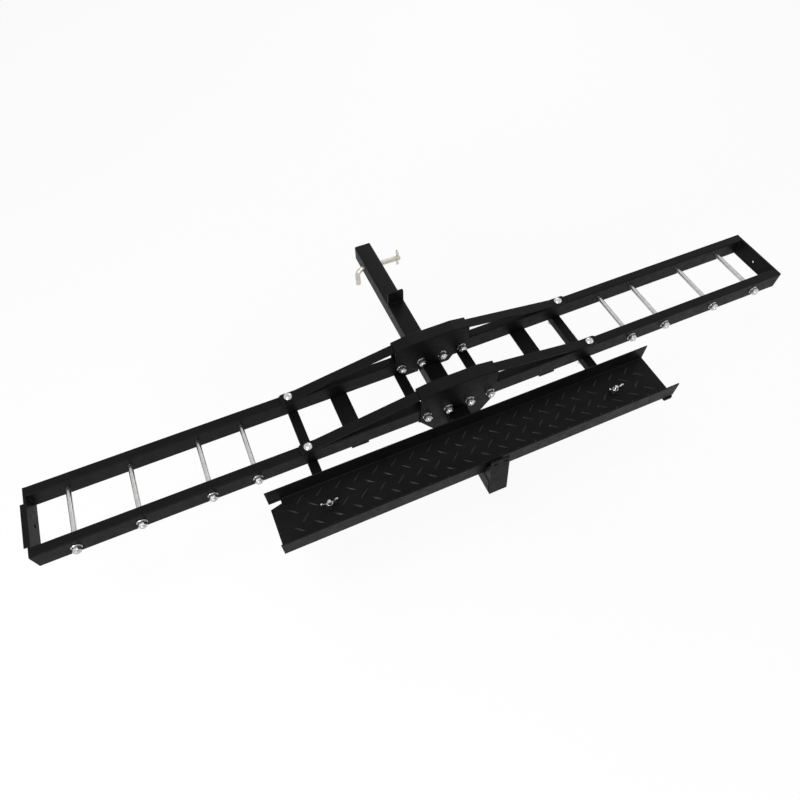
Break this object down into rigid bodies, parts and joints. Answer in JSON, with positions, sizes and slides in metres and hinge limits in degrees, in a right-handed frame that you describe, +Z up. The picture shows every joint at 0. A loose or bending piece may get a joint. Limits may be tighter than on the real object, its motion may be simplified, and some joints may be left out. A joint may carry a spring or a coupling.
{
  "type": "motorcycle carrier",
  "caption": "Hitch-mounted steel motorcycle carrier: ladder-like wheel trough across a square receiver tube, with raised centre braces and a stowed channel loading ramp",
  "frame": {"origin": "centre of the main tube's open end, where it enters the receiver", "axes": "+Y points into the receiver along the main tube, X runs along the wheel trough, +Z is up"},
  "size_m": [2.072, 0.887, 0.1922],
  "materials": {
    "powder_coat": "satin black powder coat",
    "ramp_coat": "satin black powder coat over tread plate",
    "zinc": "bright zinc plating",
    "pin_zinc": "bright zinc plating with a faint yellow tint"
  },
  "bodies": {
    "frame": {"arm_left": "powder_coat", "arm_right": "powder_coat", "brace_bolts": "zinc", "brace_front_left": "powder_coat", "brace_front_right": "powder_coat", "brace_nuts": "zinc", "brace_rear_left": "powder_coat", "brace_rear_right": "powder_coat", "end_plate_left": "powder_coat", "end_plate_right": "powder_coat", "front_bracket": "powder_coat", "gusset_bolts": "zinc", "gusset_nuts": "zinc", "gusset_washers": "zinc", "hitch_tube": "powder_coat", "narrow_bar_left": "powder_coat", "narrow_bar_right": "powder_coat", "rail_front_left": "powder_coat", "rail_front_right": "powder_coat", "rail_rear_left": "powder_coat", "rail_rear_right": "powder_coat", "ramp_ledge_left": "powder_coat", "ramp_ledge_right": "powder_coat", "ramp_studs": "zinc", "rung_bolts": "zinc", "rung_nuts": "zinc", "rung_washers": "zinc", "saddle_front": "powder_coat", "saddle_rear": "powder_coat", "stop_plate": "powder_coat", "wide_bar_left": "powder_coat", "wide_bar_right": "powder_coat"},
    "ramp": {"ramp": "ramp_coat", "ramp_foot": "ramp_coat", "ramp_washers": "zinc"},
    "wing_nut_left": {"wing_nut_left": "zinc"},
    "wing_nut_right": {"wing_nut_right": "zinc"},
    "hitch_pin": {"hitch_pin": "pin_zinc"},
    "clip": {"hitch_pin_clip": "pin_zinc"}
  },
  "joints": [
    {"name": "ramp_lift", "type": "slide", "parent": "frame", "child": "ramp", "axis": [0, 0, 1], "range_m": [0, 0.15]},
    {"name": "wing_nut_left_turn", "type": "hinge", "parent": "ramp", "child": "wing_nut_left", "pos_m": [-0.389, -0.783, 0.035], "axis": [0, 0, 1], "continuous": true},
    {"name": "wing_nut_right_turn", "type": "hinge", "parent": "ramp", "child": "wing_nut_right", "pos_m": [0.389, -0.783, 0.035], "axis": [0, 0, 1], "continuous": true},
    {"name": "hitch_pin_slide", "type": "slide", "parent": "frame", "child": "hitch_pin", "axis": [1, 0, 0], "range_m": [-0.055, 0]},
    {"name": "clip_pull", "type": "slide", "parent": "hitch_pin", "child": "clip", "axis": [0, 0, 1], "range_m": [0, 0.05]}
  ]
}
